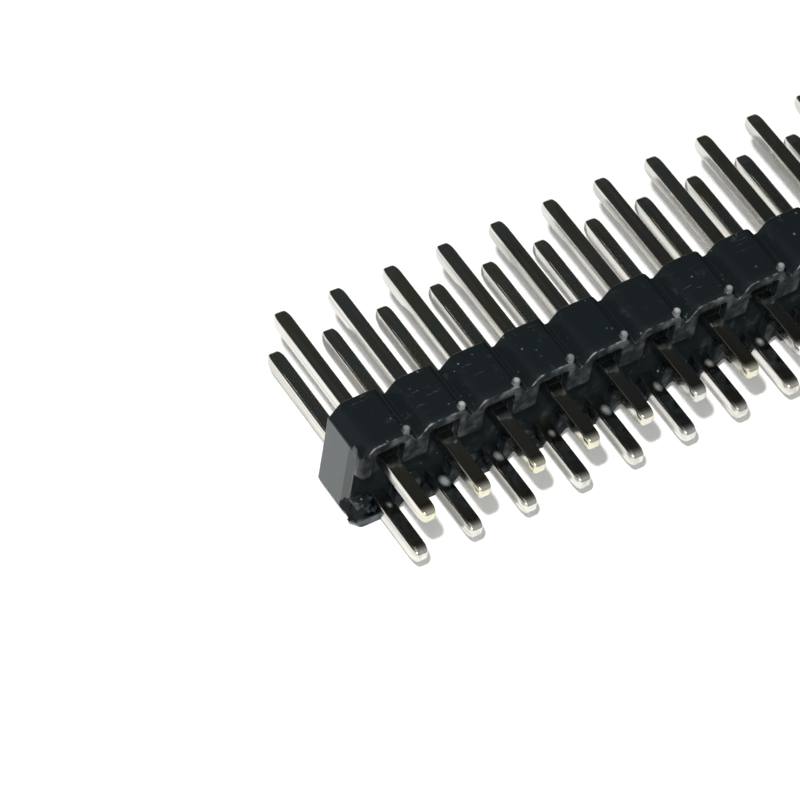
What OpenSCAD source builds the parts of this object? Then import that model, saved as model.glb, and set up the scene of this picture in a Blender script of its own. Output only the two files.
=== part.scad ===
// Double-row break-away pin header strip, lying on its long side.
// X runs along the strip, +Y along the pins towards their long mating ends,
// and +Z runs across the two rows. The origin is on the surface the strip
// lies on, under the middle of its box.

/* [Strip] */
// Number of columns, each with one pin in each row
columns = 20; // [2:1:29]
// Distance between neighbouring pins along the strip
pitch = 2.54; // [2.4:0.01:3.2]
// Distance between the two rows of pins
row_pitch = 2.54; // [2.4:0.01:3.2]

/* [Housing] */
// Thickness of the housing along the pins, with its feet
housing_t = 2.54; // [1.8:0.01:4]
// Distance from a row of pins to the outer side of the housing beside it
side_margin = 1.27; // [1.1:0.01:1.8]
// Depth of the break-off notch between two segments
notch_depth = 0.62; // [0.2:0.01:0.75]
// Width of the break-off notch at the side of the housing
notch_w = 1; // [0.7:0.01:1.6]
// Width of the flat at the bottom of the notch
notch_floor = 0.14; // [0.04:0.01:0.3]
// Radius where a segment's crest turns into the notch
shoulder_r = 0.36; // [0.1:0.01:0.6]

/* [Solder side] */
// Depth of the recess that lets solder and flux clear the board
relief = 0.38; // [0.1:0.01:0.8]
// Width of the channel that runs between the two rows
channel_w = 1.54; // [0.8:0.01:2.2]
// Width of the outer rail that is left beside each pin pocket
rail_w = 0.46; // [0.25:0.01:0.6]
// Width of the foot that stands between two pin pockets
foot_w = 1.14; // [0.6:0.01:1.4]
// Radius of the corners of the pockets and feet
pocket_r = 0.16; // [0.05:0.01:0.25]
// Bevel along the strip of the feet at the two snapped ends, twice as long along the pins
end_bevel = 0.14; // [0.05:0.01:0.4]

/* [Moulding nubs] */
// Diameter of the small round nub on the right shoulder of each segment
nub_d = 0.32; // [0.2:0.01:0.4]
// How far a nub stands out of the crest
nub_rise = 0.2; // [0.04:0.01:0.3]
// Distance of a nub's middle from the break-off line beside it
nub_inset = 0.51; // [0.4:0.01:0.6]
// Distance of a nub's middle from the solder side
nub_seat = 0.21; // [0.21:0.01:0.6]

/* [Pins] */
// Width of the square pin
pin_w = 0.64; // [0.5:0.01:0.8]
// Chamfer along the pin's four long edges
pin_edge = 0.06; // [0.02:0.01:0.1]
// Length of the solder tail that stands out of the housing
tail_len = 3.04; // [2:0.01:6]
// Length of the mating post that stands out of the housing
post_len = 5.62; // [3:0.01:12]
// Length over which each end of the pin narrows
tip_len = 0.55; // [0.3:0.01:0.9]
// Width of the flat at each end of the pin
tip_w = 0.4; // [0.25:0.01:0.45]
// Length of the steeper nose at the very end
nose_len = 0.12; // [0.05:0.01:0.2]
// Width of the pin where the nose begins
nose_w = 0.54; // [0.46:0.01:0.6]

/* [Hidden] */
row_names = ["lower", "upper"];
function pin_name(row, column) = str("pin_", row_names[row], column < 10 ? "_0" : "_", column);

housing_color = "#1b1e22";
pin_color = "#cfccbf";
arc_steps = 3;
over = 0.5;

strip_len = columns * pitch;
housing_w = row_pitch + 2 * side_margin;
pin_len = tail_len + housing_t + post_len;
seat_y = tail_len - pin_len / 2;
back_y = seat_y + housing_t;
crest_half = (pitch - notch_w) / 2;
flank_angle = atan2(notch_depth, (notch_w - notch_floor) / 2);
shoulder_reach = shoulder_r * tan(flank_angle / 2);
pocket_half = (pitch - foot_w) / 2;

// Place of a column along the strip and of a row above the surface
function column_x(column) = (column - (columns + 1) / 2) * pitch;
function row_z(row) = side_margin + row * row_pitch;

// Points of an arc about a centre
function arc(centre, r, a0, a1, steps = arc_steps) =
    [for (i = [0:steps]) let (a = a0 + (a1 - a0) * i / steps) centre + r * [cos(a), sin(a)]];

// One segment's crest from its left notch to its right one, with height 0 at the crest
function crest(x) = concat(
    [[x - (pitch - notch_floor) / 2, -notch_depth]],
    arc([x - crest_half + shoulder_reach, -shoulder_r], shoulder_r, 90 + flank_angle, 90),
    arc([x + crest_half - shoulder_reach, -shoulder_r], shoulder_r, 90, 90 - flank_angle),
    [[x + (pitch - notch_floor) / 2, -notch_depth]]
);

// The whole scalloped edge of the strip, left to right
function scallops() = concat(
    [[-strip_len / 2, -notch_depth]],
    [for (column = [1:columns]) each crest(column_x(column))],
    [[strip_len / 2, -notch_depth]]
);

// Outline of the strip as its pins see it
module strip_outline() {
    edge = scallops();
    upper = [for (p = edge) [p[0], housing_w + p[1]]];
    lower = [for (i = [len(edge) - 1:-1:0]) [edge[i][0], -edge[i][1]]];
    polygon(concat(upper, lower));
}

// Edge of the solder-side recess over one column: out of the channel into the
// pin pocket and back, with height 0 on the strip's middle line
function recess_edge(x) = let (
    mouth = channel_w / 2,
    floor_z = housing_w / 2 - rail_w,
    r = pocket_r
) concat(
    arc([x - pocket_half - r, mouth + r], r, 270, 360),
    arc([x - pocket_half + r, floor_z - r], r, 180, 90),
    arc([x + pocket_half - r, floor_z - r], r, 90, 0),
    arc([x + pocket_half + r, mouth + r], r, 180, 270)
);

// Outline of the whole recess: the channel with a pocket round every pin
module recess_outline() {
    reach = strip_len / 2 + over;
    edge = concat(
        [[-reach, channel_w / 2]],
        [for (column = [1:columns]) each recess_edge(column_x(column))],
        [[reach, channel_w / 2]]
    );
    upper = [for (p = edge) [p[0], housing_w / 2 + p[1]]];
    lower = [for (i = [len(edge) - 1:-1:0]) [edge[i][0], housing_w / 2 - edge[i][1]]];
    polygon(concat(upper, lower));
}

// Square wire section with its four edges broken
module pin_section() {
    h = pin_w / 2;
    e = h - pin_edge;
    polygon([[h, e], [e, h], [-e, h], [-h, e], [-h, -e], [-e, -h], [e, -h], [h, -e]]);
}

// Extrudes an X-Z outline along Y, from y0 to y1
module along_pins(y0, y1) {
    translate([0, y1, 0])
        rotate([90, 0, 0])
            linear_extrude(height = y1 - y0)
                children();
}

// Side outline of the pin, which narrows in two steps at each end
module pin_outline() {
    half_len = pin_len / 2;
    side = [
        [-half_len, tip_w / 2],
        [-half_len + nose_len, nose_w / 2],
        [-half_len + tip_len, pin_w / 2],
        [half_len - tip_len, pin_w / 2],
        [half_len - nose_len, nose_w / 2],
        [half_len, tip_w / 2]
    ];
    polygon(concat(side, [for (i = [len(side) - 1:-1:0]) [side[i][0], -side[i][1]]]));
}

// One pin, centred on its own middle
module pin() {
    color(pin_color)
        intersection() {
            along_pins(-pin_len / 2, pin_len / 2)
                pin_section();
            rotate([0, 0, 90])
                linear_extrude(height = 2 * pin_w, center = true)
                    pin_outline();
            rotate([0, 0, 90])
                rotate([90, 0, 0])
                    linear_extrude(height = 2 * pin_w, center = true)
                        pin_outline();
        }
}

// A pin in its place in the strip
module placed_pin(row, column) {
    translate([column_x(column), 0, row_z(row)])
        pin();
}

// The square holes that grip the pins
module pin_holes() {
    for (row = [0:1])
        for (column = [1:columns])
            translate([column_x(column), 0, row_z(row)])
                along_pins(seat_y - over, back_y + over)
                    pin_section();
}

// Wedge that bevels the feet at one end; side is -1 for the left end and 1 for the right
module end_wedge(side) {
    x_end = side * strip_len / 2;
    x_in = side * (strip_len / 2 - end_bevel);
    x_out = side * (strip_len / 2 + over);
    translate([0, 0, -over])
        linear_extrude(height = housing_w + 2 * over)
            polygon([
                [x_in, seat_y],
                [x_end, seat_y + 2 * end_bevel],
                [x_out, seat_y + 2 * end_bevel],
                [x_out, seat_y - over],
                [x_in, seat_y - over]
            ]);
}

// Nubs that stand on the right shoulder of every segment, on the upper side
module nubs() {
    for (column = [1:columns])
        translate([column_x(column) + pitch / 2 - nub_inset, seat_y + nub_seat, housing_w - notch_depth])
            cylinder(h = notch_depth + nub_rise, d = nub_d, $fn = 32);
}

// The moulded strip
module housing() {
    color(housing_color)
        difference() {
            union() {
                along_pins(seat_y, back_y)
                    strip_outline();
                nubs();
            }
            along_pins(seat_y - over, seat_y + relief)
                recess_outline();
            pin_holes();
            end_wedge(-1);
            end_wedge(1);
        }
}

housing();
for (row = [0:1])
    for (column = [1:columns])
        placed_pin(row, column);
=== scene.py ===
"""Looks of a double-row pin header strip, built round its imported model.

The strip lies on its long side. Everything is in metres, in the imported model's own frame: X runs along the
strip, +Y along the pins towards their long mating posts, and +Z across the two rows.
"""

import logging
import math
from collections.abc import Mapping, Sequence
from dataclasses import dataclass, field
from enum import Enum
from typing import Any, ClassVar

import bmesh
import bpy
from mathutils import Matrix, Vector, noise


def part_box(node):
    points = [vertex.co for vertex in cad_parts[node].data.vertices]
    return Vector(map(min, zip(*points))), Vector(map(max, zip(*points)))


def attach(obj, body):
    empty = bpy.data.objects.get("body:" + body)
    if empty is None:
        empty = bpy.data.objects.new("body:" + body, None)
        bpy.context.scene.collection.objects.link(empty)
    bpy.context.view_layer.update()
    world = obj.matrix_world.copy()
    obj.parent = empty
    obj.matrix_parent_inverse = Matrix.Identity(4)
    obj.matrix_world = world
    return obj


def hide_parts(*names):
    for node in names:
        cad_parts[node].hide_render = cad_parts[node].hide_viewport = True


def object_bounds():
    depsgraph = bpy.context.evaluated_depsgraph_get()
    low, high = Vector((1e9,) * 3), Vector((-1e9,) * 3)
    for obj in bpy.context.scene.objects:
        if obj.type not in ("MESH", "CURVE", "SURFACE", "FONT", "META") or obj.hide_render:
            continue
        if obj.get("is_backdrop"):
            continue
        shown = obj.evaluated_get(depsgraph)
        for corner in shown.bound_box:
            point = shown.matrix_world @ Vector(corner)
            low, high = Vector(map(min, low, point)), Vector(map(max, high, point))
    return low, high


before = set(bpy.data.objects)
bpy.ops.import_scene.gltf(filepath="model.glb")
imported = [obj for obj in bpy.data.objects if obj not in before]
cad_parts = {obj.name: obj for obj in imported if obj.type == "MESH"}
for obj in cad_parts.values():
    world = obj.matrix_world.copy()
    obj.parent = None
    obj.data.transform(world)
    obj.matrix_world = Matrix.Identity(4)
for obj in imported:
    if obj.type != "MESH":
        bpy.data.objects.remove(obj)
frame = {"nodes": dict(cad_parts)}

MM = 0.001
BODY = "root"
# The point at the near end of the strip that the camera and the lamp face
NEAR_END = (-0.0214497, 0.0005616, 0.00254)

Number = int | float
Range = tuple[float, float]
Triple = tuple[float, float, float]
Colour = Triple

log = logging.getLogger("pin_strip")


def mm(x: float, y: float, z: float) -> Triple:
    """Three lengths in millimetres, as metres."""
    return (x * MM, y * MM, z * MM)


class Row(Enum):
    """The two rows of pins, as the strip lies."""

    LOWER = "lower"
    UPPER = "upper"


class Part(Enum):
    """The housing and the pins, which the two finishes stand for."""

    HOUSING = "housing"
    PIN = "pin"


# ---------------------------------------------------------------------------------------------
# Node trees written as Python expressions


@dataclass(frozen=True)
class Term:
    """An output socket that takes part in Python arithmetic.

    Args:
        bench: the bench whose tree the socket is in.
        socket: the output socket.
    """

    bench: "Bench"
    socket: bpy.types.NodeSocket

    def __add__(self, other: "Term | Number") -> "Term":
        """This plus other."""
        return self.bench.maths("ADD", self, other)

    def __radd__(self, other: Number) -> "Term":
        """A number plus this."""
        return self.bench.maths("ADD", other, self)

    def __sub__(self, other: "Term | Number") -> "Term":
        """This minus other."""
        return self.bench.maths("SUBTRACT", self, other)

    def __rsub__(self, other: Number) -> "Term":
        """A number minus this."""
        return self.bench.maths("SUBTRACT", other, self)

    def __mul__(self, other: "Term | Number") -> "Term":
        """This times other."""
        return self.bench.maths("MULTIPLY", self, other)

    def __rmul__(self, other: Number) -> "Term":
        """A number times this."""
        return self.bench.maths("MULTIPLY", other, self)

    def __truediv__(self, other: "Term | Number") -> "Term":
        """This over other."""
        return self.bench.maths("DIVIDE", self, other)

    def __rtruediv__(self, other: Number) -> "Term":
        """A number over this."""
        return self.bench.maths("DIVIDE", other, self)

    def __pow__(self, other: "Term | Number") -> "Term":
        """This to the power of other."""
        return self.bench.maths("POWER", self, other)

    def __rpow__(self, other: Number) -> "Term":
        """A number to the power of this."""
        return self.bench.maths("POWER", other, self)

    def out(self, name: str) -> "Term":
        """Another output of the same node, by its name."""
        return Term(self.bench, self.bench.find(self.socket.node.outputs, name))

    def axis(self, name: str) -> "Term":
        """One of the three numbers of a vector, by the name of its axis."""
        return self.bench.add("ShaderNodeSeparateXYZ", {}, {0: self}, name)


Value = Term | Number | Sequence[float] | bool


@dataclass(frozen=True)
class Pattern:
    """A noise that is stretched along the axes.

    Args:
        scale: cycles a metre along X, Y and Z.
        detail: how many octaves it has.
        offset: moves it, so that two patterns differ.
    """

    scale: Triple
    detail: float = 2.0
    offset: Triple = (0.0, 0.0, 0.0)


@dataclass(frozen=True)
class Bench:
    """Builds the nodes of one tree.

    Args:
        tree: the shader or geometry tree that is built.
    """

    tree: bpy.types.NodeTree

    @staticmethod
    def find(sockets: Sequence[bpy.types.NodeSocket], key: str | int) -> bpy.types.NodeSocket:
        """Finds a socket.

        Args:
            sockets: the inputs or outputs of a node.
            key: a place, or a name, of which the first that is switched on counts.

        Returns:
            The socket.
        """
        if isinstance(key, int):
            return sockets[key]
        return next(s for s in sockets if s.name == key and s.enabled)

    def add(
        self,
        kind: str,
        settings: Mapping[str, Any] | None = None,
        inputs: Mapping[str | int, Value] | None = None,
        output: str | int = 0,
    ) -> Term:
        """Adds any node.

        Args:
            kind: the node's type.
            settings: the node's own settings, set first. "items" is the number of values that an
                index switch picks from.
            inputs: values or links of its sockets, by name or place.
            output: the output that is wanted, by name or place.

        Returns:
            That output.
        """
        node = self.tree.nodes.new(kind)
        for name, value in (settings or {}).items():
            if name == "items":
                while len(node.index_switch_items) < value:
                    node.index_switch_items.new()
            else:
                setattr(node, name, value)
        for key, value in (inputs or {}).items():
            self.plug(self.find(node.inputs, key), value)
        return Term(self, self.find(node.outputs, output))

    def plug(self, socket: bpy.types.NodeSocket, value: Value) -> None:
        """Links a term to an input socket, or sets the socket's own value.

        Args:
            socket: the input socket.
            value: a term, or a plain value, of which a colour may leave out its alpha.
        """
        if isinstance(value, Term):
            self.tree.links.new(value.socket, socket)
        elif socket.type == "RGBA" and isinstance(value, (tuple, list)) and len(value) == 3:
            socket.default_value = (*value, 1.0)
        else:
            socket.default_value = value

    def maths(self, operation: str, *operands: Term | Number) -> Term:
        """Adds a Math node.

        Args:
            operation: its operation.
            operands: terms or numbers, in order.

        Returns:
            Its value.
        """
        return self.add("ShaderNodeMath", {"operation": operation}, dict(enumerate(operands)))

    def step(self, value: Term, low: float, high: float) -> Term:
        """Adds a smooth step.

        Args:
            value: what is stepped.
            low: where the step is 0.
            high: where it is 1, above or below low.

        Returns:
            A term from 0 to 1.
        """
        least, most, before, after = (low, high, 0.0, 1.0) if low < high else (high, low, 1.0, 0.0)
        return self.add(
            "ShaderNodeMapRange",
            {"interpolation_type": "SMOOTHSTEP"},
            {"Value": value, "From Min": least, "From Max": most, "To Min": before, "To Max": after},
        )

    def blend(self, factor: Term | Number, first: Term | Colour, second: Term | Colour) -> Term:
        """Mixes two colours.

        Args:
            factor: 0 for the first, 1 for the second.
            first: a colour.
            second: a colour.

        Returns:
            The mixed colour.
        """
        return self.add(
            "ShaderNodeMix",
            {"data_type": "RGBA", "clamp_factor": True},
            {"Factor": factor, "A": first, "B": second},
            "Result",
        )

    def scaled(self, place: Term, scale: Triple, offset: Triple) -> Term:
        """The coordinates times a scale for each axis, plus an offset."""
        return self.add(
            "ShaderNodeVectorMath", {"operation": "MULTIPLY_ADD"}, {0: place, 1: scale, 2: offset}
        )

    def noise(self, place: Term, pattern: Pattern) -> Term:
        """Adds a noise.

        Args:
            place: the coordinates.
            pattern: how it is stretched and moved.

        Returns:
            The noise, round a half.
        """
        spot = self.scaled(place, pattern.scale, pattern.offset)
        return self.add("ShaderNodeTexNoise", {}, {"Vector": spot, "Scale": 1.0, "Detail": pattern.detail})

    def specks(self, place: Term, cells: float, size: float, offset: Triple = (0.0, 0.0, 0.0)) -> Term:
        """Adds small round specks to one cell in five, each of its own size and brightness.

        Args:
            place: the coordinates.
            cells: cells a metre, each with at most one speck.
            size: radius of the largest speck, as a share of a cell.
            offset: moves the pattern.

        Returns:
            A mask that is 0 off the specks, and up to 1 on the brightest.
        """
        spot = self.add("ShaderNodeVectorMath", {"operation": "ADD"}, {0: place, 1: offset})
        cell = self.add("ShaderNodeTexVoronoi", {}, {"Vector": spot, "Scale": cells})
        draw = self.add("ShaderNodeSeparateColor", {}, {"Color": cell.out("Color")})
        reach = self.step(draw.out("Red"), 0.8, 1.0) * size
        inside = self.maths("LESS_THAN", cell.out("Distance"), reach)
        return inside * (0.25 + 0.75 * draw.out("Green"))

    def wrap(self, value: Term, period: float) -> Term:
        """Folds a length into one period, from minus a half of it to a half."""
        return self.maths("WRAP", value, period / 2, -period / 2)

    def absolute(self, value: Term) -> Term:
        """The value without its sign."""
        return self.maths("ABSOLUTE", value)

    def greater(self, first: Term | Number, second: Term | Number) -> Term:
        """The greater of two values."""
        return self.maths("MAXIMUM", first, second)


@dataclass(frozen=True)
class Surface:
    """The point of a surface that a material colours, and the way the surface faces there.

    Args:
        place: its Object coordinates.
        x: its place along the strip.
        y: its place along the pins.
        z: its height.
        facing_x: how far it faces along the strip.
        facing_y: how far it faces along the pins.
        facing_z: how far it faces up.
    """

    place: Term
    x: Term
    y: Term
    z: Term
    facing_x: Term
    facing_y: Term
    facing_z: Term

    @classmethod
    def under(cls, bench: Bench) -> "Surface":
        """Reads the coordinates and the normal.

        Args:
            bench: the bench of the material's tree.

        Returns:
            The point.
        """
        place = bench.add("ShaderNodeTexCoord", output="Object")
        normal = place.out("Normal")
        return cls(place, *(place.axis(a) for a in "XYZ"), *(normal.axis(a) for a in "XYZ"))


# ---------------------------------------------------------------------------------------------
# Finishes


@dataclass(frozen=True)
class Finish:
    """A finish that is built as one material.

    Args:
        name: the material's name.
    """

    name: str

    def dress(self, bench: Bench, shader: bpy.types.Node) -> None:
        """Gives the shader its values. Each finish has its own."""
        raise NotImplementedError

    def material(self) -> bpy.types.Material:
        """Builds the material.

        Returns:
            The material, with its nodes linked.
        """
        made = bpy.data.materials.new(self.name)
        made.use_nodes = True
        self.dress(Bench(made.node_tree), made.node_tree.nodes["Principled BSDF"])
        return made


@dataclass(frozen=True)
class Nubs:
    """The small round moulding nubs on the upper crests, one beside every break-off line.

    Args:
        inset: distance of a nub's middle from the break-off line at its right.
        seat: distance of its middle from the solder side.
        diameter: how wide a nub is.
        rise: how far it stands out of the crest.
    """

    inset: float = 0.51 * MM
    seat: float = 0.21 * MM
    diameter: float = 0.32 * MM
    rise: float = 0.2 * MM


@dataclass(frozen=True)
class Lump:
    """A torn lump of plastic that snapping has left at the near end.

    Args:
        centre: its middle, measured from the lowest corner of the housing's box.
        radii: its reach along X, Y and Z.
        rugged: depth of its lumps, as a share of its reach.
        turn: moves its pattern.
    """

    centre: Triple
    radii: Triple
    rugged: float
    turn: float

    FINENESS: ClassVar[int] = 4
    COARSENESS: ClassVar[float] = 1.3
    # Height and fineness of each layer of its lumps
    LAYERS: ClassVar[tuple[Range, ...]] = ((1.0, 1.0), (0.8, 3.1), (0.4, 7.3))

    def add_to(self, shell: bmesh.types.BMesh, corner: Vector) -> None:
        """Adds the lump's surface to a mesh.

        Args:
            shell: the mesh.
            corner: the lowest corner of the housing's box.
        """
        middle = corner + Vector(self.centre)
        made = bmesh.ops.create_icosphere(shell, subdivisions=self.FINENESS, radius=1.0)
        for vert in made["verts"]:
            out = vert.co.normalized()
            seed = out * self.COARSENESS + Vector((self.turn, self.turn, 0.0))
            swell = sum(height * noise.noise(seed * fineness) for height, fineness in self.LAYERS)
            reach = 1.0 + self.rugged * swell
            vert.co = middle + Vector(r * c * reach for r, c in zip(self.radii, out))


@dataclass(frozen=True)
class Marks:
    """What the plastic's colour, roughness and bump share: three noises, and masks from 0 to 1.

    Args:
        cloud: a slow noise.
        fleck: a finer noise.
        blot: a noise in small blotches.
        scuff: fine scratches.
        grime: dust, and scratches and blotches that catch the light.
        side: the solder side.
        recess: the recess in it.
        end: the snapped ends.
        shoulder: the right shoulders of the crests.
        flank: the steep lower part of those, whose colour is lightened as painted light, since they face
            away from the lamp.
        nub: the nubs.
        smear: the paler plastic below the nubs.
        rim: a painted highlight along the upper rim.
        torn: the torn corner.
        bruise: the lower edge below it, made glossier, with a painted reflection of the lit table.
    """

    cloud: Term
    fleck: Term
    blot: Term
    scuff: Term
    grime: Term
    side: Term
    recess: Term
    end: Term
    shoulder: Term
    flank: Term
    nub: Term
    smear: Term
    rim: Term
    torn: Term
    bruise: Term


@dataclass(frozen=True)
class MouldedBlack(Finish):
    """Black moulded plastic, glossy where the mould was, frosted on the nubs and dull where it was torn.

    Args:
        pitch: distance between two segments along X.
        low: the lowest corner of the housing's box.
        high: its highest corner.
        nubs: the nubs on the crests.
        torn: the torn lump at the near end.
    """

    pitch: float
    low: Vector
    high: Vector
    nubs: Nubs
    torn: Lump
    black: Colour = (0.0086, 0.0123, 0.0140)
    # Painted light: the lighter colour of the steep flanks, which face away from the lamp
    worn: Colour = (0.034, 0.043, 0.048)
    snapped: Colour = (0.0235, 0.0365, 0.042)
    frosted: Colour = (0.40, 0.42, 0.42)
    scuffed: Colour = (0.10, 0.11, 0.11)
    # Painted highlight along the upper rim
    flash: Colour = (0.27, 0.28, 0.29)
    # Painted reflection of the lit table on the lower edge at the near end
    bruised: Colour = (0.06, 0.075, 0.092)
    dust: Colour = (0.22, 0.23, 0.24)
    lint: Colour = (0.06, 0.13, 0.14)
    sheen: Colour = (0.95, 1.0, 1.0)
    refraction: float = 1.49
    matte_roughness: float = 0.7

    CLOUD: ClassVar[Pattern] = Pattern((520.0, 520.0, 520.0), 4.0)
    FLECK: ClassVar[Pattern] = Pattern((1500.0, 1500.0, 1500.0), 3.0, (7.0, 3.0, 5.0))
    GRAIN: ClassVar[Pattern] = Pattern((14000.0, 14000.0, 14000.0), 3.0, (3.1, 7.7, 1.9))
    SCRATCH: ClassVar[Pattern] = Pattern((1300.0, 8000.0, 6000.0), 2.0, (11.0, 2.0, 5.0))
    BLOT: ClassVar[Pattern] = Pattern((2400.0, 1500.0, 2400.0), 3.0, (2.0, 8.0, 4.0))
    FILM: ClassVar[Pattern] = Pattern((1300.0, 900.0, 800.0), 3.0, (9.0, 6.0, 1.0))
    RAGGED: ClassVar[Pattern] = Pattern((4200.0, 2600.0, 4200.0), 3.0, (5.0, 1.0, 6.0))
    PATCHY: ClassVar[Pattern] = Pattern((1000.0, 0.0, 0.0), 2.0, (1.0, 4.0, 2.0))

    # Lengths at which a mask starts and is full. A depth is from the solder side or, for the paler patches,
    # below the crest
    END_REACH: ClassVar[Range] = (0.03 * MM, 0.005 * MM)
    LEAN_DEPTH: ClassVar[Range] = (0.96 * MM, 0.90 * MM)
    RECESS_DEPTH: ClassVar[Range] = (0.28 * MM, 0.36 * MM)
    BRUISE_REACH: ClassVar[Range] = (1.7 * MM, 1.2 * MM)
    BRUISE_HEIGHT: ClassVar[Range] = (0.6 * MM, 0.42 * MM)
    STEM_REACH: ClassVar[Range] = (0.24 * MM, 0.12 * MM)
    STEM_DEPTH: ClassVar[Range] = (1.05 * MM, 0.65 * MM)
    WING_LEFT: ClassVar[Range] = (-0.95 * MM, -0.7 * MM)
    WING_RIGHT: ClassVar[Range] = (0.2 * MM, 0.05 * MM)
    WING_DEPTH: ClassVar[Range] = (0.42 * MM, 0.18 * MM)
    RIM_DEPTH: ClassVar[Range] = (0.085 * MM, 0.03 * MM)
    RIM_HEIGHT: ClassVar[Range] = (0.8 * MM, 1.2 * MM)
    GLINT_REACH: ClassVar[Range] = (0.3 * MM, 0.06 * MM)

    SCUFF_WOBBLE: ClassVar[float] = 0.9 * MM
    GLINT_INSET: ClassVar[float] = 0.46 * MM
    LEAN_START: ClassVar[float] = 0.93 * MM
    LEAN_SLOPE: ClassVar[float] = 0.18 / MM
    BUMP_HEIGHT: ClassVar[float] = 0.0014

    def _nub_mask(self, bench: Bench, spot: Surface, along: Term, number: Term) -> Term:
        """A mask of the nubs, palest on top, some of which are frosted more than others.

        Args:
            bench: the bench of the material's tree.
            spot: the point of the surface.
            along: place along X, from the nearest nub.
            number: number of the segment.

        Returns:
            The mask.
        """
        across = spot.y - (self.low.y + self.nubs.seat)
        distance = (along * along + across * across) ** 0.5
        radius = self.nubs.diameter / 2
        crest = self.high.z - self.nubs.rise
        chance = bench.add("ShaderNodeTexWhiteNoise", {"noise_dimensions": "1D"}, {"W": number}, "Value")
        mask = bench.step(distance, radius * 1.2, radius * 1.04)
        mask = mask * bench.step(spot.z, crest - 0.1 * MM, crest)
        worn = bench.step(distance, radius * 0.95, radius * 0.35)
        return mask * (0.25 + 0.75 * worn) * (0.45 + 0.55 * chance * chance)

    def _smear_mask(self, bench: Bench, spot: Surface, along: Term, fleck: Term) -> Term:
        """A mask of the paler patch below every nub, and of the wing of it at the nub's left.

        Args:
            bench: the bench of the material's tree.
            spot: the point of the surface.
            along: place along X, from the nearest nub.
            fleck: a noise that breaks up its outline.

        Returns:
            The mask.
        """
        crest = self.high.z - self.nubs.rise
        wobble = (fleck - 0.5) * self.SCUFF_WOBBLE
        depth = crest - spot.z + wobble
        stem = bench.step(bench.absolute(along + wobble * 0.4), *self.STEM_REACH)
        stem = stem * bench.step(depth, *self.STEM_DEPTH)
        wing = bench.step(along, *self.WING_LEFT) * bench.step(along, *self.WING_RIGHT)
        wing = wing * bench.step(depth, *self.WING_DEPTH)
        return bench.greater(stem * 0.8, wing) * bench.step(fleck, 0.3, 0.72)

    def _rim_mask(self, bench: Bench, spot: Surface) -> Term:
        """A mask of the thin painted highlight along the solder side's upper rim, brightest at the left
        shoulders.

        Args:
            bench: the bench of the material's tree.
            spot: the point of the surface.

        Returns:
            The mask.
        """
        edge = bench.step(spot.y - self.low.y, *self.RIM_DEPTH)
        upper = bench.step(spot.z - (self.low.z + self.high.z) / 2, *self.RIM_HEIGHT)
        ragged = bench.step(bench.noise(spot.place, self.RAGGED), 0.44, 0.6)
        patchy = bench.step(bench.noise(spot.place, self.PATCHY), 0.44, 0.58)
        glint_specks = bench.specks(spot.place, cells=5600.0, size=0.34, offset=(0.13, 0.71, 0.37)) * patchy
        shoulder = bench.absolute(bench.wrap(spot.x - (self.low.x + self.GLINT_INSET), self.pitch))
        glint = bench.step(shoulder, *self.GLINT_REACH) * (0.3 + 0.7 * ragged) * (0.4 + 0.6 * patchy)
        level = bench.greater(ragged * (0.12 + 0.5 * patchy), glint_specks)
        return bench.step(spot.facing_z, 0.2, 0.5) * edge * upper * bench.greater(level, glint)

    def _torn_mask(self, bench: Bench, spot: Surface, fleck: Term) -> Term:
        """A mask of the torn corner and of what lies close round it.

        Args:
            bench: the bench of the material's tree.
            spot: the point of the surface.
            fleck: a noise that breaks up its outline.

        Returns:
            The mask.
        """
        centre = self.low + Vector(self.torn.centre)
        shift = tuple(-c / r for c, r in zip(centre, self.torn.radii))
        scale = tuple(1.0 / r for r in self.torn.radii)
        inside = bench.scaled(spot.place, scale, shift)
        reach = bench.add("ShaderNodeVectorMath", {"operation": "LENGTH"}, {0: inside}, "Value")
        return bench.step(reach + (fleck - 0.5) * 1.2, 1.12, 0.96)

    def _marks(self, bench: Bench, spot: Surface) -> Marks:
        """Finds where the plastic is marked, and how.

        Args:
            bench: the bench of the material's tree.
            spot: the point of the surface.

        Returns:
            The noises and masks.
        """
        cloud = bench.noise(spot.place, self.CLOUD)
        fleck = bench.noise(spot.place, self.FLECK)
        blot = bench.noise(spot.place, self.BLOT)
        scuff = bench.step(bench.noise(spot.place, self.SCRATCH), 0.64, 0.76) * bench.step(cloud, 0.5, 0.62)
        depth = spot.y - self.low.y
        side = bench.step(spot.facing_y, -0.2, -0.6)
        end = bench.step(self.high.x - bench.absolute(spot.x), *self.END_REACH)

        past_nub = spot.x + (self.nubs.inset - self.low.x)
        along = bench.wrap(past_nub, self.pitch)
        number = bench.maths("ROUND", past_nub / self.pitch)
        wide_patch = bench.step(bench.noise(spot.place, self.FILM), 0.52, 0.74)
        smear = bench.greater(self._smear_mask(bench, spot, along, fleck), wide_patch * 0.28) * side

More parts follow.
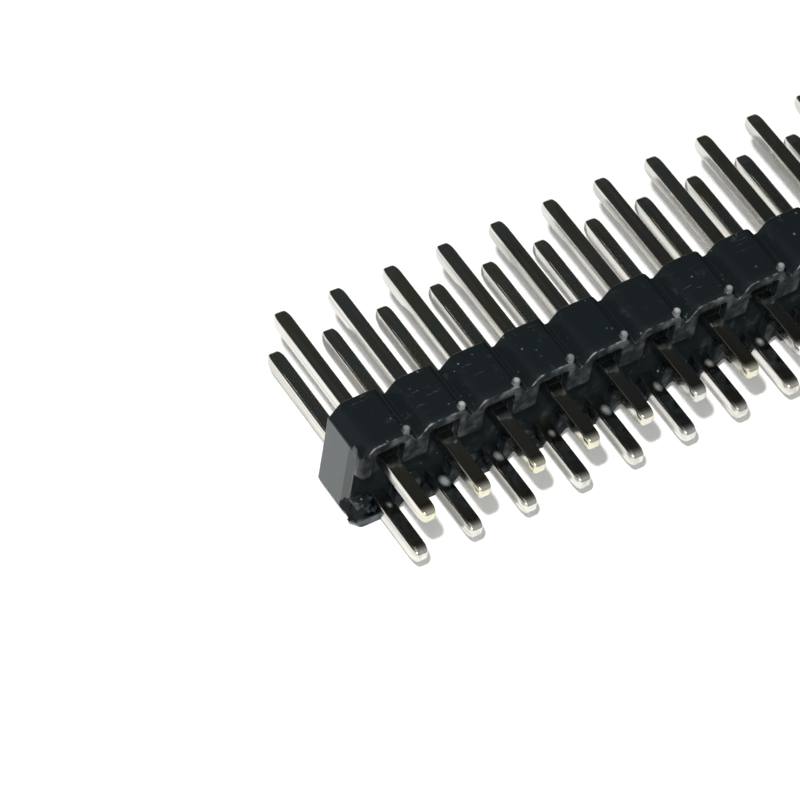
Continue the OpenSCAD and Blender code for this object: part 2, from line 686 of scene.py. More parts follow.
        # Painted reflection: the lower edge at the near end is lightened as if it mirrored the lit table,
        # and made glossier
        bruise = bench.step(spot.x - self.low.x, *self.BRUISE_REACH)
        bruise = bruise * bench.step(spot.z, *self.BRUISE_HEIGHT)
        bruise = bruise * bench.step(spot.facing_y, -0.35, -0.75) * bench.step(fleck, 0.25, 0.6)
        speck = bench.specks(spot.place, cells=1500.0, size=0.15)
        mote = bench.specks(spot.place, cells=4200.0, size=0.22, offset=(0.31, 0.17, 0.83))
        grime = bench.greater(speck, mote * 0.6)
        grime = bench.greater(grime, scuff * 0.16 + bench.step(blot, 0.62, 0.8) * 0.1) * (1.0 - end * 0.6)
        return Marks(
            cloud=cloud,
            fleck=fleck,
            blot=blot,
            scuff=scuff,
            grime=grime,
            side=side,
            recess=side * bench.step(depth, *self.RECESS_DEPTH),
            end=end,
            shoulder=bench.step(spot.facing_x, 0.12, 0.4) * (1.0 - end),
            flank=bench.step(spot.facing_x, 0.62, 0.8) * (1.0 - end),
            nub=self._nub_mask(bench, spot, along, number),
            smear=smear,
            rim=self._rim_mask(bench, spot),
            torn=self._torn_mask(bench, spot, fleck),
            bruise=bruise,
        )

    def _tone(self, bench: Bench, spot: Surface, marks: Marks) -> Term:
        """The plastic's colour, with each mark laid over those before it.

        Args:
            bench: the bench of the material's tree.
            spot: the point of the surface.
            marks: the noises and masks.

        Returns:
            The colour.
        """
        # Painted shade: the snapped faces are darkened beside the solder side, where they lean back
        lean_shade = bench.step(spot.y - self.low.y, *self.LEAN_DEPTH)
        dirt = bench.blend(bench.step(marks.cloud, 0.42, 0.58), self.lint, self.dust)
        tone = bench.blend(marks.end * (1.0 - lean_shade * 0.85), self.black, self.snapped)
        layers = (
            # Painted light: the steep flanks are lightened where they face away from the lamp
            (marks.flank, self.worn),
            (marks.grime, dirt),
            (marks.smear, self.scuffed),
            # Painted reflection of the lit table on the lower edge
            (marks.bruise, self.bruised),
            # Painted shade: the torn corner keeps the plain black over the paler snapped colour, as shade in
            # its hollows
            (marks.torn * (1.0 - marks.bruise), self.black),
            # Painted highlight along the upper rim, brightest at the left shoulders
            (marks.rim, self.flash),
            (marks.nub, self.frosted),
        )
        for mask, colour in layers:
            tone = bench.blend(mask, tone, colour)
        return tone

    def _roughness(self, bench: Bench, marks: Marks) -> Term:
        """The roughness of the glossy plastic.

        Args:
            bench: the bench of the material's tree.
            marks: the noises and masks.

        Returns:
            The roughness.
        """
        rough = 0.16 + marks.cloud * 0.08 + marks.grime * 0.35 + marks.nub * 0.4
        rough = rough + marks.end * 0.05 + marks.side * 0.2
        rough = bench.greater(rough, marks.torn * (0.5 + marks.fleck * 0.4)) + marks.rim * 0.3
        return bench.maths("MINIMUM", rough, 0.9)

    def _bump(self, bench: Bench, spot: Surface, marks: Marks) -> Term:
        """The fine relief of the plastic.

        Args:
            bench: the bench of the material's tree.
            spot: the point of the surface.
            marks: the noises and masks.

        Returns:
            The bumped normal.
        """
        # Beside the solder side the snapped faces lean back a little
        lean = bench.maths("MINIMUM", spot.y - (self.low.y + self.LEAN_START), 0.0)
        lean = lean * marks.end * self.LEAN_SLOPE
        relief = bench.noise(spot.place, self.GRAIN) * (0.45 + marks.end * 0.5 + marks.torn * 6.0)
        relief = relief + marks.cloud * (marks.end * 2.0) + marks.fleck * (marks.torn * 14.0)
        relief = relief + marks.scuff * 0.4 + marks.fleck * (marks.side * 6.0)
        height = lean + relief * self.BUMP_HEIGHT
        return bench.add("ShaderNodeBump", {}, {"Strength": 1.0, "Distance": MM, "Height": height})

    def _dullness(self, bench: Bench, marks: Marks) -> Term:
        """How dull the plastic is.

        Args:
            bench: the bench of the material's tree.
            marks: the noises and masks.

        Returns:
            The share of the matte plastic.
        """
        patchy = 0.86 - 0.4 * bench.step(marks.blot, 0.42, 0.66)
        back = bench.greater(marks.side * patchy, marks.recess * 0.97)
        dull = bench.greater(back, bench.greater(marks.torn * 0.8, marks.shoulder))
        return dull * (1.0 - marks.bruise * 0.8)

    def dress(self, bench: Bench, shader: bpy.types.Node) -> None:
        """Mixes a glossy and a matte plastic of the same colour and relief.

        Args:
            bench: the bench of the material's tree.
            shader: its Principled BSDF.
        """
        spot = Surface.under(bench)
        marks = self._marks(bench, spot)
        tone = self._tone(bench, spot, marks)
        bump = self._bump(bench, spot, marks)
        bench.plug(shader.inputs["Base Color"], tone)
        bench.plug(shader.inputs["Roughness"], self._roughness(bench, marks))
        bench.plug(shader.inputs["Normal"], bump)
        bench.plug(shader.inputs["IOR"], self.refraction)
        bench.plug(shader.inputs["Specular Tint"], self.sheen)
        dry = {"Roughness": self.matte_roughness, "Specular IOR Level": 0.0}
        matte = bench.add("ShaderNodeBsdfPrincipled", {}, {"Base Color": tone, "Normal": bump, **dry})
        glossy = Term(bench, shader.outputs[0])
        both = bench.add("ShaderNodeMixShader", {}, {0: self._dullness(bench, marks), 1: glossy, 2: matte})
        out = next(n for n in bench.tree.nodes if n.bl_idname == "ShaderNodeOutputMaterial")
        bench.plug(out.inputs["Surface"], both)


@dataclass(frozen=True)
class BrightPlate(Finish):
    """Bright plating over drawn brass wire: a mirror with fine lines along it, olive and slate painted
    reflections on the tops, and straw tips.

    Args:
        pitch: distance between two pins along X.
        first_x: X of the first column.
        middle_z: height between the two rows.
        seat_y: Y of the solder side.
        tail_end: Y of the tips of the tails.
    """

    pitch: float
    first_x: float
    middle_z: float
    seat_y: float
    tail_end: float
    silver: Colour = (0.72, 0.71, 0.67)
    grey: Colour = (0.42, 0.41, 0.39)
    straw: Colour = (0.74, 0.71, 0.53)
    # Painted reflections of the room on the faces that look up
    olive: Colour = (0.64, 0.61, 0.49)
    slate: Colour = (0.55, 0.63, 0.645)
    pale: Colour = (0.22, 0.22, 0.225)

    LINES: ClassVar[Pattern] = Pattern((16000.0, 220.0, 16000.0), 3.0)
    BANDS: ClassVar[Pattern] = Pattern((5200.0, 90.0, 5200.0), 2.0, (4.0, 9.0, 1.0))
    PATCH: ClassVar[Pattern] = Pattern((700.0, 380.0, 700.0), 3.0, (8.0, 3.0, 2.0))
    STAIN: ClassVar[Pattern] = Pattern((1100.0, 650.0, 1100.0), 3.0, (6.0, 2.0, 9.0))

    # Lengths at which a mask starts and is full, and the dab's place from its pin's middle
    # and from the solder side
    STRAW_REACH: ClassVar[Range] = (1.2 * MM, 0.2 * MM)
    DAB_REACH: ClassVar[Range] = (0.22 * MM, -0.08 * MM)
    DAB_ALONG: ClassVar[float] = 0.04 * MM
    DAB_OUT: ClassVar[float] = 0.48 * MM
    DAB_WOBBLE: ClassVar[float] = 0.5 * MM
    BUMP_HEIGHT: ClassVar[float] = 0.001 * MM

    def _dab_mask(self, bench: Bench, spot: Surface, ragged: Term, chance: Term) -> Term:
        """A mask of the small pale dab on top of every lower tail, close to the housing.

        Args:
            bench: the bench of the material's tree.
            spot: the point of the surface.
            ragged: a noise that breaks up its outline.
            chance: a number of each pin's own, from 0 to 1.

        Returns:
            The mask.
        """
        along = bench.wrap(spot.x - (self.first_x + self.DAB_ALONG), self.pitch)
        across = spot.y - (self.seat_y - self.DAB_OUT)
        distance = (along * along + across * across * 0.6) ** 0.5 + (ragged - 0.5) * self.DAB_WOBBLE
        return bench.step(distance, *self.DAB_REACH) * (0.25 + 0.55 * chance)

    def dress(self, bench: Bench, shader: bpy.types.Node) -> None:
        """Colours, roughness and bump of the plating.

        Args:
            bench: the bench of the material's tree.
            shader: its Principled BSDF.
        """
        spot = Surface.under(bench)
        upper = bench.maths("GREATER_THAN", spot.z, self.middle_z)
        number = bench.maths("FLOOR", spot.x / self.pitch)
        draw = bench.add(
            "ShaderNodeTexWhiteNoise",
            {"noise_dimensions": "2D"},
            {"Vector": bench.add("ShaderNodeCombineXYZ", {}, {"X": number, "Y": upper})},
            "Color",
        )
        lot = bench.add("ShaderNodeSeparateColor", {}, {"Color": draw})
        first, second = lot.out("Red"), lot.out("Green")

        lines = bench.noise(spot.place, self.LINES)
        bands = bench.noise(spot.place, self.BANDS)
        patch = bench.noise(spot.place, self.PATCH)
        splotch = bench.noise(spot.place, self.STAIN)

        dull = bench.step(bands, 0.42, 0.66) * (0.25 + 0.5 * first) + bench.step(patch, 0.5, 0.75) * 0.35
        tip = bench.step(spot.y - self.tail_end, *self.STRAW_REACH) * bench.step(second, 0.25, 0.6)
        top = bench.step(spot.facing_z, 0.5, 0.9)
        dab = self._dab_mask(bench, spot, splotch, first) * top * (1.0 - upper)
        plate = bench.blend(dull, self.silver, self.grey)
        layers = (
            # Painted reflection: olive and slate patches on the faces that look up, standing in for the room
            # they mirror
            (top * bench.step(splotch, 0.46, 0.68), self.olive),
            (top * bench.step(splotch, 0.54, 0.32), self.slate),
            (tip * (0.15 + upper * 0.6), self.straw),
            (dab, self.pale),
        )
        for mask, colour in layers:
            plate = bench.blend(mask, plate, colour)
        relief = {"Strength": 0.3, "Distance": self.BUMP_HEIGHT, "Height": lines + bands * 0.8}

        bench.plug(shader.inputs["Base Color"], plate)
        bench.plug(shader.inputs["Metallic"], 1.0 - dab)
        bench.plug(shader.inputs["Roughness"], 0.07 + lines * 0.06 + dull * 0.08 + dab * 0.5)
        bench.plug(shader.inputs["Normal"], bench.add("ShaderNodeBump", {}, relief))


@dataclass(frozen=True)
class PalePaper(Finish):
    """The white table: matte, with a glow that only the camera, gloss and glass see.

    Args:
        glow: how much white is added for them.
        white: the paper's colour.
        bright: its colour where it is a little paler.
    """

    glow: Colour = (0.165, 0.165, 0.1617)
    white: Colour = (0.90, 0.90, 0.90)
    bright: Colour = (0.91, 0.91, 0.91)

    MOTTLE: ClassVar[Pattern] = Pattern((60.0, 60.0, 60.0), 3.0)

    def dress(self, bench: Bench, shader: bpy.types.Node) -> None:
        """Matte white, with the glow on top.

        Args:
            bench: the bench of the material's tree.
            shader: its Principled BSDF.
        """
        mottle = bench.noise(bench.add("ShaderNodeTexCoord", output="Object"), self.MOTTLE)
        path = bench.add("ShaderNodeLightPath")
        seen = bench.greater(path.out("Is Camera Ray"), path.out("Is Glossy Ray"))
        seen = bench.greater(seen, path.out("Is Transmission Ray"))
        bench.plug(shader.inputs["Base Color"], bench.blend(mottle, self.white, self.bright))
        bench.plug(shader.inputs["Roughness"], 0.9)
        bench.plug(shader.inputs["Specular IOR Level"], 0.1)
        bench.plug(shader.inputs["Emission Color"], bench.blend(seen, (0.0, 0.0, 0.0), self.glow))
        bench.plug(shader.inputs["Emission Strength"], 1.0)


# ---------------------------------------------------------------------------------------------
# The strip


def into_scene(name: str, data: bpy.types.ID) -> bpy.types.Object:
    """Puts a new object into the scene.

    Args:
        name: its name.
        data: its mesh, light or camera.

    Returns:
        The object.
    """
    made = bpy.data.objects.new(name, data)
    bpy.context.scene.collection.objects.link(made)
    return made


def adopt(
    mesh: bpy.types.Mesh, name: str, node: str, finish: bpy.types.Material
) -> bpy.types.Object:
    """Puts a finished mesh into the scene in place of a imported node.

    Args:
        mesh: the mesh, with its place in its vertices.
        name: the new object's name.
        node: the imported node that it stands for.
        finish: its material.

    Returns:
        The new object, riding on the strip's body.
    """
    mesh.name = name
    mesh.materials.clear()
    mesh.materials.append(finish)
    made = into_scene(name, mesh)
    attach(made, BODY)
    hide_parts(node)
    return made


def bake(carrier: bpy.types.Object) -> bpy.types.Mesh:
    """Turns an object's live modifiers into a plain mesh and removes the object.

    Args:
        carrier: the object with the modifiers.

    Returns:
        The mesh.
    """
    evaluated = carrier.evaluated_get(bpy.context.evaluated_depsgraph_get())
    mesh = bpy.data.meshes.new_from_object(evaluated)
    carrier.modifiers.clear()
    bpy.data.objects.remove(carrier)
    return mesh


def even_out(carrier: bpy.types.Object) -> None:
    """Lets the large faces of an object set the shading of the small ones beside them."""
    carrier.modifiers.new("weigh", "WEIGHTED_NORMAL").weight = 100


@dataclass
class Housing:
    """The scalloped moulding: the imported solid, with rounded edges, domed nubs and a torn near end.

    Args:
        finish: the plastic.
        low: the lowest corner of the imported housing's box.
        high: its highest corner.
        nubs: the nubs on the crests.
        lumps: what snapping has left at the near end.
        bite: what it has taken from the near end's lower edge.
        pins: X and Z of the middle of every pin.
        edge_round: width of the rounding along the edges.
        nub_round: width of the rounding on top of the nubs.
        crease_deg: the least angle between two faces that counts as an edge.
        end_crease_deg: the same for the upright edges of the snapped ends.
        hole_half: half the width of the square holes round the pins, with a little air.
        node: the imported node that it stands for.
    """

    finish: bpy.types.Material
    low: Vector
    high: Vector
    nubs: Nubs
    lumps: Sequence[Lump]
    bite: Lump
    pins: Sequence[tuple[float, float]]
    edge_round: float = 0.05 * MM
    nub_round: float = 0.07 * MM
    crease_deg: float = 32.0
    end_crease_deg: float = 20.0
    hole_half: float = 0.33 * MM
    node: str = "housing"

    NUB_STEPS: ClassVar[int] = 4
    EDGE_STEPS: ClassVar[int] = 2
    MERGE: ClassVar[float] = 0.0005 * MM
    FLAT_DEG: ClassVar[float] = 0.3
    TOP_SLACK: ClassVar[float] = 0.002 * MM
    NUB_SLACK: ClassVar[float] = 0.01 * MM
    NUB_FOOT: ClassVar[float] = 0.2 * MM
    PAST_NUBS: ClassVar[float] = 0.08 * MM
    UPRIGHT: ClassVar[float] = 0.9
    AT_END: ClassVar[float] = 0.98

    def _round(
        self, shell: bmesh.types.BMesh, edges: list[bmesh.types.BMEdge], width: float, steps: int
    ) -> None:
        """Rounds some edges.

        Args:
            shell: the mesh.
            edges: the edges.
            width: how far the rounding reaches into each face.
            steps: how many facets it has.
        """
        bmesh.ops.bevel(
            shell,
            geom=edges,
            offset=width,
            offset_type="OFFSET",
            segments=steps,
            profile=0.5,
            affect="EDGES",
            clamp_overlap=False,
        )

    def _in_hole(self, spot: Vector) -> bool:
        """Whether a point is at the wall of a pin's hole."""
        return any(max(abs(spot.x - x), abs(spot.z - z)) < self.hole_half for x, z in self.pins)

    def _at_nub(self, spot: Vector) -> bool:
        """Finds out whether a point belongs to a nub.

        Args:
            spot: the point.

        Returns:
            Whether it is on the outline of a nub, from just below the crest upwards.
        """
        columns = sorted({x for x, _ in self.pins})
        pitch = (columns[-1] - columns[0]) / (len(columns) - 1)
        along = (spot.x - self.low.x + self.nubs.inset + pitch / 2) % pitch - pitch / 2
        across = spot.y - self.low.y - self.nubs.seat
        foot = self.high.z - self.nubs.rise - self.NUB_FOOT
        return spot.z > foot and math.hypot(along, across) < self.nubs.diameter / 2 + self.NUB_SLACK

    def _is_sharp(self, edge: bmesh.types.BMEdge) -> bool:
        """Finds out whether an edge is one that the mould rounds, away from the pins and the nubs.

        Args:
            edge: the edge.

        Returns:
            Whether it is sharp enough to be rounded.
        """
        if len(edge.link_faces) != 2:
            return False
        first, second = (v.co for v in edge.verts)
        upright = abs(first.z - second.z) > self.UPRIGHT * (first - second).length
        at_end = first.x * second.x > self.low.x**2 * self.AT_END
        limit = self.end_crease_deg if upright and at_end else self.crease_deg
        if edge.calc_face_angle() < math.radians(limit):
            return False
        if self._at_nub(first) and self._at_nub(second):
            return False
        return not (self._in_hole(first) and self._in_hole(second))

    def _carrier(self, name: str, shell: bmesh.types.BMesh) -> bpy.types.Object:
        """Puts a mesh under way into the scene, to carry modifiers.

        Args:
            name: the mesh's name.
            shell: the mesh, which is freed.

        Returns:
            The object that carries it.
        """
        bmesh.ops.recalc_face_normals(shell, faces=shell.faces)
        mesh = bpy.data.meshes.new(name)
        shell.to_mesh(mesh)
        shell.free()
        mesh.shade_smooth()
        return into_scene(name, mesh)

    def _rounded(self, source: bpy.types.Mesh) -> bpy.types.Object:
        """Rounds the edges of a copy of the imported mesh.

        Args:
            source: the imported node's mesh, which is left as it is.

        Returns:
            The object that carries the rounded moulding.
        """
        shell = bmesh.new()
        shell.from_mesh(source)
        bmesh.ops.remove_doubles(shell, verts=shell.verts, dist=self.MERGE)
        flat = math.radians(self.FLAT_DEG)
        bmesh.ops.dissolve_limit(shell, angle_limit=flat, verts=shell.verts, edges=shell.edges)
        top = self.high.z - self.TOP_SLACK
        tops = [e for e in shell.edges if all(v.co.z > top for v in e.verts)]
        self._round(shell, tops, self.nub_round, self.NUB_STEPS)
        sharp = [e for e in shell.edges if self._is_sharp(e)]
        self._round(shell, sharp, self.edge_round, self.EDGE_STEPS)
        # A cut past the nubs keeps their outline out of the long faces, which then shade evenly
        past_nubs = self.low.y + self.nubs.seat + self.nubs.diameter / 2 + self.PAST_NUBS
        parts = [*shell.verts, *shell.edges, *shell.faces]
        bmesh.ops.bisect_plane(shell, geom=parts, plane_co=(0.0, past_nubs, 0.0), plane_no=(0.0, 1.0, 0.0))
        return self._carrier("housing_rounded", shell)

    def _bitten(self, carrier: bpy.types.Object) -> bmesh.types.BMesh:
        """Takes the bite out of the rounded moulding.

        Args:
            carrier: the object that carries it, which is removed.

        Returns:
            What is left of it.
        """
        tooth = bmesh.new()
        self.bite.add_to(tooth, self.low)
        biter = self._carrier("bite", tooth)
        cut = carrier.modifiers.new("cut", "BOOLEAN")
        cut.operation = "DIFFERENCE"
        cut.solver = "EXACT"
        cut.object = biter
        shell = bmesh.new()
        shell.from_mesh(bake(carrier))
        bpy.data.objects.remove(biter)
        return shell

    def build(self, source: bpy.types.Mesh) -> bpy.types.Object:
        """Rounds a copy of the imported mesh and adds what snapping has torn.

        Args:
            source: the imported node's mesh, which is left as it is.

        Returns:
            The dressed housing.
        """
        shell = self._bitten(self._rounded(source))
        for lump in self.lumps:
            lump.add_to(shell, self.low)
        carrier = self._carrier("housing_torn", shell)
        even_out(carrier)
        return adopt(bake(carrier), "moulded_housing", self.node, self.finish)


@dataclass
class PinSet:
    """The square pins, each drawn along its path by one geometry tree.

    Args:
        finish: the plating.
        width: width of the square wire.
        length: length of a pin from tip to tip.
        tip_length: length over which each end narrows.
        tip_width: width of the flat at each end.
        fullness: how round an end is; 2 makes it swell along an ellipse.
        edge_round: radius of the four long edges.
        soft: rounding of the flat at each end.
        tree: the geometry tree that draws a pin.
        sockets: identifiers of its inputs, by name.
    """

    finish: bpy.types.Material
    width: float = 0.64 * MM
    length: float = 11.2 * MM
    tip_length: float = 0.55 * MM
    tip_width: float = 0.31 * MM
    fullness: float = 2.1
    edge_round: float = 0.085 * MM
    soft: float = 0.045 * MM
    tree: bpy.types.NodeTree = field(init=False)
    sockets: dict[str, str] = field(init=False)

    # Where the swelling of an end has its stations, as shares of its length
    SHARES: ClassVar[tuple[float, ...]] = (0.06, 0.14, 0.26, 0.42, 0.65, 1.0)
    STATIONS: ClassVar[int] = 2 * (2 + len(SHARES))
    CORNER_STEPS: ClassVar[int] = 3

    def __post_init__(self) -> None:
        """Builds the tree once for all pins."""
        self.tree = bpy.data.node_groups.new("drawn_pin", "GeometryNodeTree")
        self.sockets = {}
        self._declare_inputs()
        self._wire_up()

    def _declare_inputs(self) -> None:
        """Gives the tree its named inputs and its output."""
        face = self.tree.interface
        face.new_socket("Geometry", in_out="OUTPUT", socket_type="NodeSocketGeometry")
        sizes = ("Length", "Width", "Tip length", "Tip width", "Fullness", "Edge", "Soft")
        kinds = dict.fromkeys(sizes, "Float") | {"Centre": "Vector", "Finish": "Material"}
        for name, kind in kinds.items():
            made = face.new_socket(name, in_out="INPUT", socket_type="NodeSocket" + kind)
            self.sockets[name] = made.identifier

    def _stations(self, given: Term) -> list[tuple[Term | Number, Term]]:
        """Places along one end of the pin, from its tip inwards.

        Args:
            given: the group's inputs.

        Returns:
            Pairs of a distance from the tip and the pin's width there.
        """
        soft, width = given.out("Soft"), given.out("Width")
        tip_w, tip_l = given.out("Tip width"), given.out("Tip length")
        swell = width - tip_w
        rounded = [(0.0, tip_w - soft * 2.0), (soft * 0.4, tip_w - soft * 0.5)]
        full = given.out("Fullness")
        swelling = [
            (tip_l * share, tip_w + swell * (1.0 - (1.0 - share) ** full) ** (1.0 / full))
            for share in self.SHARES
        ]
        return rounded + swelling

    def _wire_up(self) -> None:
        """Adds the tree's nodes: a square profile swept along stations that set its width."""
        bench = Bench(self.tree)
        given = bench.add("NodeGroupInput")
        near = self._stations(given)
        half = given.out("Length") * 0.5
        places = [d - half for d, _ in near] + [half - d for d, _ in reversed(near)]
        widths = [w for _, w in near] + [w for _, w in reversed(near)]
        index = bench.add("GeometryNodeInputIndex")

        def pick(values: list[Term]) -> Term:
            """Picks one of the values by the index of the station.

            Args:
                values: a value for each station.

            Returns:
                The value at the station.
            """
            inputs: dict[str | int, Value] = {"Index": index}
            inputs.update({str(i): value for i, value in enumerate(values)})
            return bench.add(
                "GeometryNodeIndexSwitch", {"data_type": "FLOAT", "items": len(values)}, inputs
            )

        line = bench.add(
            "GeometryNodeMeshLine", {"mode": "OFFSET"}, {"Count": self.STATIONS, "Offset": (0.0, MM, 0.0)}
        )
        path = bench.add("GeometryNodeMeshToCurve", {}, {"Mesh": line})
        spot = bench.add("ShaderNodeCombineXYZ", {}, {"Y": pick(places)})
        path = bench.add("GeometryNodeSetPosition", {}, {"Geometry": path, "Position": spot})
        square = bench.add(
            "GeometryNodeCurvePrimitiveQuadrilateral",
            {},
            {"Width": given.out("Width"), "Height": given.out("Width")},
        )
        square = bench.add(
            "GeometryNodeFilletCurve",
            {"mode": "POLY"},
            {"Curve": square, "Count": self.CORNER_STEPS, "Radius": given.out("Edge")},
        )
        wire = bench.add(
            "GeometryNodeCurveToMesh",
            {},
            {
                "Curve": path,
                "Profile Curve": square,
                "Scale": pick(widths) / given.out("Width"),
                "Fill Caps": True,
            },
        )
        wire = bench.add("GeometryNodeSetPosition", {}, {"Geometry": wire, "Offset": given.out("Centre")})
        wire = bench.add("GeometryNodeSetShadeSmooth", {}, {"Geometry": wire, "Shade Smooth": True})
        wire = bench.add("GeometryNodeRealizeInstances", {}, {"Geometry": wire})
        wire = bench.add("GeometryNodeSetMaterial", {}, {"Geometry": wire, "Material": given.out("Finish")})
        out = self.tree.nodes.new("NodeGroupOutput")
        bench.plug(out.inputs[0], wire)

    def build(self, node: str, centre: Vector) -> bpy.types.Object:
        """Draws one pin.

        Args:
            node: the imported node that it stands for.
            centre: the pin's middle.

        Returns:
            The dressed pin.
        """
        carrier = into_scene("pin_carrier", bpy.data.meshes.new("pin_carrier"))
        draw = carrier.modifiers.new("draw", "NODES")
        draw.node_group = self.tree
        sizes = {
            "Length": self.length,
            "Width": self.width,
            "Tip length": self.tip_length,
            "Tip width": self.tip_width,
            "Fullness": self.fullness,
            "Edge": self.edge_round,
            "Soft": self.soft,
            "Centre": tuple(centre),
            "Finish": self.finish,
        }
        for name, value in sizes.items():
            draw[self.sockets[name]] = value
        even_out(carrier)
        return adopt(bake(carrier), "plated_" + node, node, self.finish)


@dataclass
class Strip:
    """The whole strip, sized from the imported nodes.

    Args:
        nodes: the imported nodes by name.
        nubs: the nubs on the crests.
        torn: where the plastic is torn, at the lower corner of the near end.
        lumps: what stands out there, and the thin tabs at the upper corner.
        bite: what is missing from the lower edge there.
    """

    nodes: Mapping[str, bpy.types.Object]
    nubs: Nubs = Nubs()
    torn: Lump = Lump(mm(0.42, 0.46, 1.06), mm(0.66, 0.56, 0.66), 0.0, 0.0)
    lumps: tuple[Lump, ...] = (
        Lump(mm(0.56, 0.32, 1.10), mm(0.46, 0.34, 0.50), 0.8, 2.0),
        Lump(mm(0.22, 0.46, 1.30), mm(0.22, 0.34, 0.44), 0.7, 7.0),
        Lump(mm(0.36, 0.26, 0.66), mm(0.30, 0.24, 0.22), 0.7, 4.0),
        Lump(mm(0.26, 0.02, 4.62), mm(0.16, 0.035, 0.10), 0.5, 9.0),
        Lump(mm(0.03, 0.52, 4.50), mm(0.05, 0.26, 0.30), 0.35, 5.0),
    )
    bite: Lump = Lump(mm(-0.02, 0.26, 0.50), mm(0.17, 0.52, 0.26), 0.5, 3.0)

    def pin_nodes(self, row: Row) -> list[str]:
        """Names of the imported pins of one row, in order."""
        return sorted(n for n in self.nodes if n.startswith(f"pin_{row.value}_"))

    def middle(self, node: str) -> Vector:
        """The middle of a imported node's box."""
        low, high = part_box(node)
        return (low + high) / 2

    def build(self) -> list[bpy.types.Object]:
        """Builds and dresses every piece.

        Returns:
            The pieces.
        """
        low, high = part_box("housing")
        middles = {node: self.middle(node) for row in Row for node in self.pin_nodes(row)}
        first, second = self.pin_nodes(Row.LOWER)[:2]
        pitch = middles[second].x - middles[first].x
        pin_low, pin_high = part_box(first)
        plastic = MouldedBlack(
            name="moulded_black", pitch=pitch, low=low, high=high, nubs=self.nubs, torn=self.torn
        )
        plate = BrightPlate(
            name="bright_plate",
            pitch=pitch,
            first_x=middles[first].x,
            middle_z=sum(m.z for m in middles.values()) / len(middles),
            seat_y=low.y,
            tail_end=pin_low.y,
        )
        housing = Housing(
            finish=plastic.material(),
            low=low,
            high=high,
            nubs=self.nubs,
            lumps=self.lumps,
            bite=self.bite,
            pins=[(m.x, m.z) for m in middles.values()],
        )
        pins = PinSet(plate.material(), width=pin_high.x - pin_low.x, length=pin_high.y - pin_low.y)
        pieces = [housing.build(self.nodes["housing"].data)]
        log.info("moulded_housing: %d faces", len(pieces[0].data.polygons))
        for row in Row:
            for node in self.pin_nodes(row):
                pieces.append(pins.build(node, middles[node]))
            log.info("%s row: %d pins", row.value, len(self.pin_nodes(row)))
        return pieces


# ---------------------------------------------------------------------------------------------
# The studio


@dataclass(frozen=True)
class Lamp:
    """A small round lamp.

    Args:
        name: its name.
        towards: direction from its aim to the lamp.
        distance: how far off it is.
        size: its diameter.
        power: its power in watts.
        tint: its colour.
        aim: the point that it faces.
    """

    name: str
    towards: Triple
    distance: float
    size: float
    power: float
    tint: Colour
    aim: Triple

    def hang(self) -> bpy.types.Object:
        """Hangs the lamp, facing the strip.

        Returns:
            The lamp.
        """
        data = bpy.data.lights.new(self.name, "AREA")
        data.shape = "DISK"
        data.size = self.size
        data.energy = self.power
        data.color = self.tint
        made = into_scene(self.name, data)
        direction = Vector(self.towards).normalized()
        made.location = Vector(self.aim) + direction * self.distance
        made.rotation_euler = direction.to_track_quat("Z", "Y").to_euler()
        return made


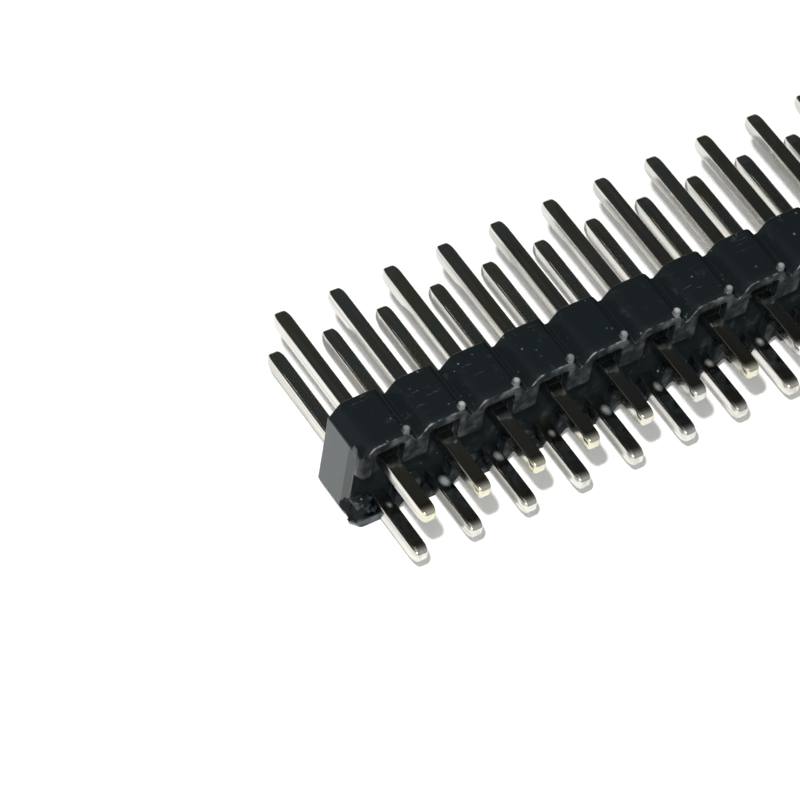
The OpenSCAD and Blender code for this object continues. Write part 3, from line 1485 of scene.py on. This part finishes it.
@dataclass(frozen=True)
class Studio:
    """A plain white table under a dim room and one lamp.

    Args:
        lamp: the lamp.
        table_half: half the width of the table.
        dark: colour of the room behind the camera's mirrored view.
        dim: colour of the room beyond it.
        wall: colour of the wall past the near end.
        ceiling: colour of the pale ceiling over the solder side.
    """

    lamp: Lamp
    table_half: float = 3.0
    dark: Colour = (0.012, 0.012, 0.012)
    dim: Colour = (0.046, 0.048, 0.044)
    wall: Colour = (0.10, 0.10, 0.10)
    ceiling: Colour = (0.45, 0.46, 0.46)

    def set_up(self) -> None:
        """Lays the table, hangs the lamp and paints the room."""
        self._lay_table()
        self.lamp.hang()
        self._paint_room()

    def _lay_table(self) -> None:
        """Lays the table at the height of the strip's lowest point."""
        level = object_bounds()[0][2]
        half = self.table_half
        mesh = bpy.data.meshes.new("table")
        corners = [(-half, -half, level), (half, -half, level), (half, half, level), (-half, half, level)]
        mesh.from_pydata(corners, [], [(0, 1, 2, 3)])
        mesh.materials.append(PalePaper(name="pale_paper").material())
        into_scene("table", mesh)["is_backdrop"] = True

    def _paint_room(self) -> None:
        """Paints the room, with a pale ceiling over the solder side and dark beyond the strip."""
        world = bpy.data.worlds.new("room")
        world.use_nodes = True
        bpy.context.scene.world = world
        bench = Bench(world.node_tree)
        towards = bench.add("ShaderNodeTexCoord", output="Generated")
        far = bench.blend(bench.step(towards.axis("Y"), 0.448, 0.482), self.dark, self.dim)
        far = bench.blend(bench.step(towards.axis("X"), -0.5, -0.8), far, self.wall)
        room = bench.blend(bench.step(towards.axis("Y"), 0.4, -0.3), far, self.ceiling)
        seen = bench.add("ShaderNodeLightPath", output="Is Camera Ray")
        back = world.node_tree.nodes["Background"]
        bench.plug(back.inputs["Color"], bench.blend(seen, room, (1.0, 1.0, 1.0)))
        bench.plug(back.inputs["Strength"], 1.0)


@dataclass(frozen=True)
class Viewpoint:
    """A long lens that looks down on the near end of the strip.

    Args:
        place: where the lens is.
        aim: the point that it looks at.
        roll_deg: turn about the line of sight.
        lens_mm: focal length of the lens.
        sensor_mm: width of the sensor.
        nearest: distance from which the camera sees things.
        farthest: distance to which it does.
    """

    place: Triple
    aim: Triple
    roll_deg: float
    lens_mm: float
    sensor_mm: float = 36.0
    nearest: float = 0.01
    farthest: float = 20.0

    def set_up(self) -> bpy.types.Object:
        """Sets up the camera.

        Returns:
            The scene's camera.
        """
        data = bpy.data.cameras.new("viewpoint")
        data.sensor_width = self.sensor_mm
        data.lens = self.lens_mm
        data.clip_start = self.nearest
        data.clip_end = self.farthest
        camera = into_scene("viewpoint", data)
        place, aim = Vector(self.place), Vector(self.aim)
        turn = (aim - place).to_track_quat("-Z", "Y").to_matrix().to_4x4()
        roll = Matrix.Rotation(math.radians(self.roll_deg), 4, "Z")
        camera.matrix_world = Matrix.Translation(place) @ turn @ roll
        bpy.context.scene.camera = camera
        return camera


def main() -> None:
    """Builds the strip, its studio and its camera."""
    logging.basicConfig(level=logging.INFO, format="%(name)s: %(message)s")
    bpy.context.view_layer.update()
    Strip(frame["nodes"]).build()
    key = Lamp(
        name="key",
        towards=(-0.467, -0.366, 1.0),
        distance=0.2,
        size=0.009,
        power=0.425,
        tint=(1.0, 0.99, 0.97),
        aim=NEAR_END,
    )
    Studio(lamp=key).set_up()
    Viewpoint(
        place=(-0.0957543, -0.0862699, 0.1448092),
        aim=NEAR_END,
        roll_deg=10.38,
        lens_mm=209.84,
    ).set_up()
    bpy.context.scene.view_settings.view_transform = "Standard"
    log.info("sizes written")


if __name__ == "__main__":
    main()
